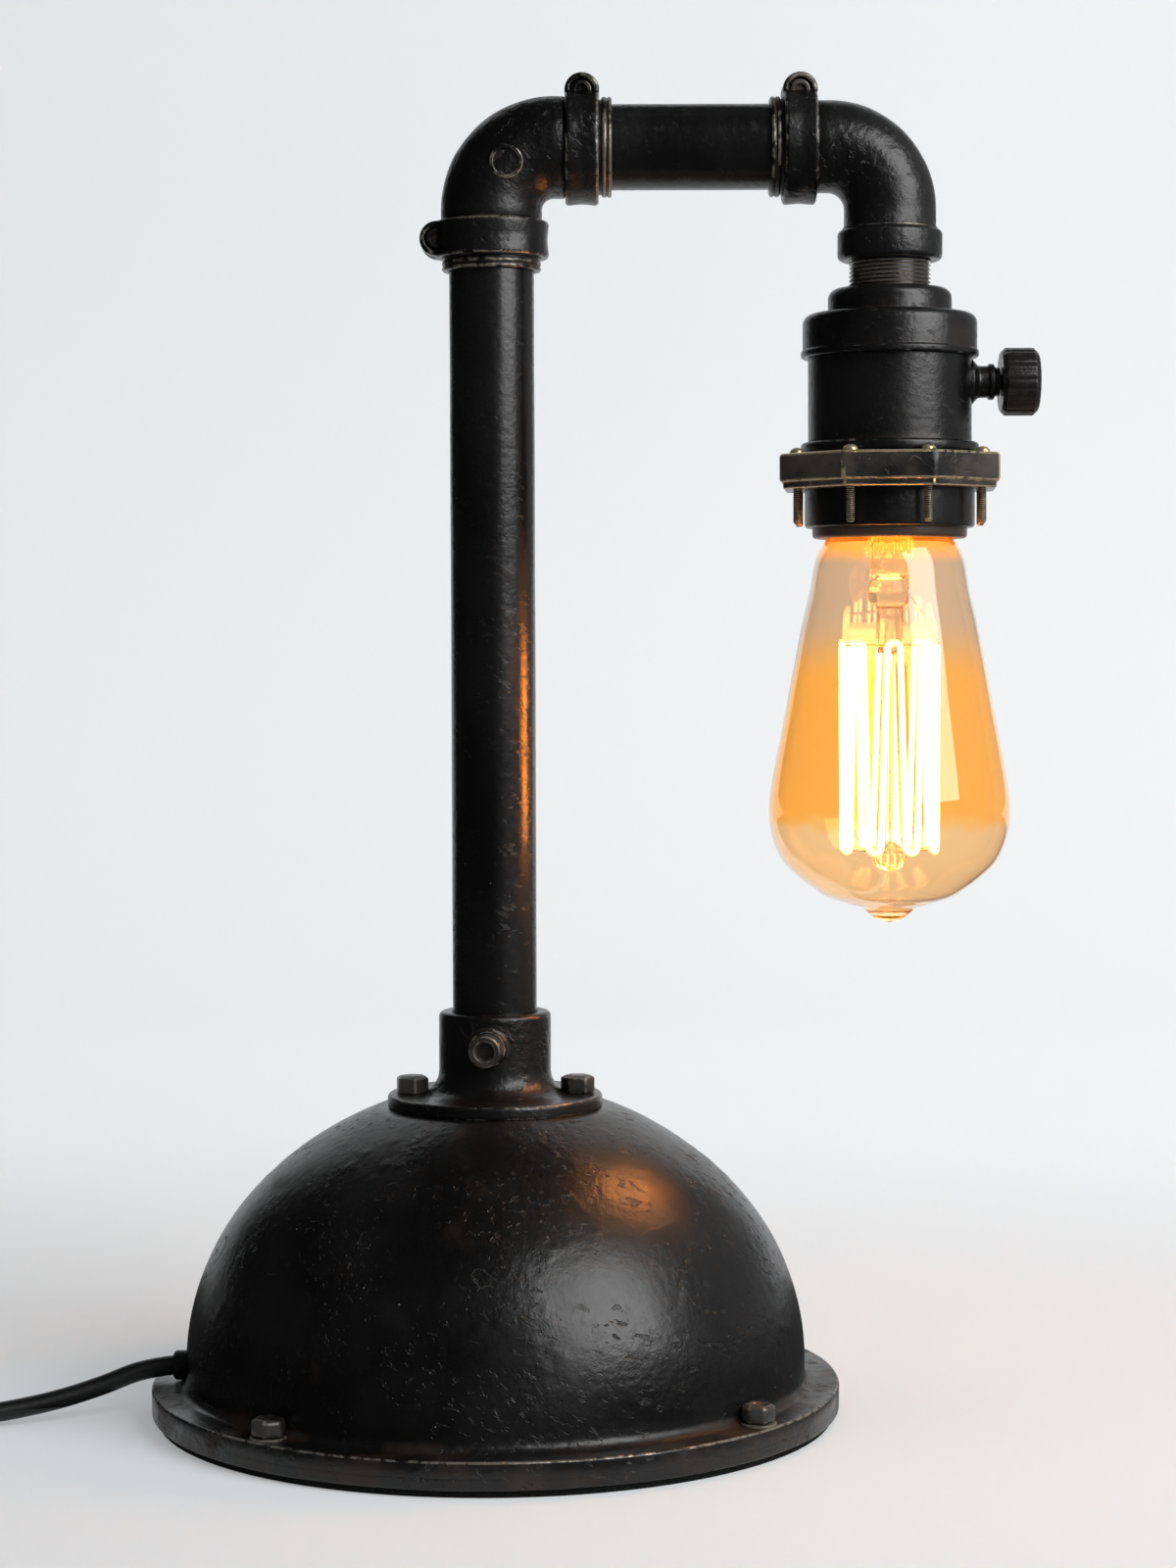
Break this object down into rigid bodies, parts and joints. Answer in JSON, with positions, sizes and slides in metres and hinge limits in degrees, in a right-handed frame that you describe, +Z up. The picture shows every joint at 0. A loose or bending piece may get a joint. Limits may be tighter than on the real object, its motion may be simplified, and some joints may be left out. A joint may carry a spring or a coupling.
{
  "type": "pipe table lamp",
  "caption": "Table lamp of blackened iron pipe: domed round base, upright post, short arm between clamped elbows, and a hanging lamp holder with a turn switch and an amber filament bulb.",
  "frame": {"origin": "on the floor under the centre of the round base and the post", "axes": "+Z up along the post, +X along the arm to the lamp holder, -Y towards the front"},
  "size_m": [0.3925, 0.1828, 0.3542],
  "materials": {
    "cast_iron": "blackened, worn to brown on the edges",
    "steel_plate": "black, satin",
    "pipe": "blackened steel, satin, fine scratches",
    "holder": "blackened, satin",
    "worn_ring": "blackened, rubbed to brass on the edges",
    "knob": "black, satin",
    "fasteners": "blackened, worn",
    "felt": "felt",
    "cord": "smooth",
    "tie": "matte",
    "plug": "matte",
    "brass": "plain",
    "core": "moulded",
    "sleeve": "pressed board",
    "solder": "dull",
    "amber_glass": "clear amber",
    "clear_glass": "clear",
    "filament": "glowing",
    "support_wire": "plain"
  },
  "bodies": {
    "base": {"foot_pad": "felt", "base_plate": "steel_plate", "base_dome": "cast_iron", "base_bolts": "fasteners", "base_washers": "fasteners", "floor_flange": "cast_iron", "flange_bolts": "fasteners", "flange_nuts": "fasteners", "post_pipe": "pipe", "post_screw": "fasteners", "cord_bushing": "cord", "post_lead": "cord", "cord_lead": "cord", "cord_coil": "cord", "cord_tail": "cord", "cord_tie": "tie", "plug_body": "plug", "plug_blades": "brass"},
    "arm": {"post_elbow": "cast_iron", "post_clamp": "cast_iron", "arm_clamp": "cast_iron", "elbow_screws": "fasteners", "arm_lead": "cord"},
    "tube": {"arm_pipe": "pipe"},
    "head": {"head_elbow": "cast_iron", "head_clamp": "cast_iron", "head_screw": "fasteners", "head_lead": "cord", "nipple": "pipe", "socket_cap": "holder", "socket_shell": "holder", "eight_ring": "worn_ring", "ring_screws": "fasteners", "ring_skirt": "holder", "mouth_collar": "core", "socket_core": "core", "insulating_sleeve": "sleeve", "screw_shell": "brass", "centre_contact": "brass", "switch_stem": "holder", "bulb_glass": "amber_glass", "bulb_cap": "brass", "bulb_insulator": "core", "bulb_contact": "solder", "bulb_stem": "clear_glass", "bulb_filament": "filament", "filament_hooks": "support_wire", "bulb_leads": "support_wire"},
    "knob": {"switch_knob": "knob", "switch_spindle": "fasteners", "switch_cam": "core"}
  },
  "joints": [
    {"name": "arm_swing", "type": "hinge", "parent": "base", "child": "arm", "pos_m": [0, 0, 0.3111], "axis": [0, 0, 1], "range_deg": [-170, 170]},
    {"name": "arm_roll", "type": "hinge", "parent": "arm", "child": "tube", "pos_m": [0.0239, 0, 0.3354], "axis": [1, 0, 0], "range_deg": [-90, 90]},
    {"name": "head_tilt", "type": "hinge", "parent": "tube", "child": "head", "pos_m": [0.0811, 0, 0.3354], "axis": [1, 0, 0], "range_deg": [-90, 90]},
    {"name": "switch_turn", "type": "hinge", "parent": "head", "child": "knob", "pos_m": [0.105, 0, 0.2736], "axis": [1, 0, 0], "continuous": true}
  ]
}
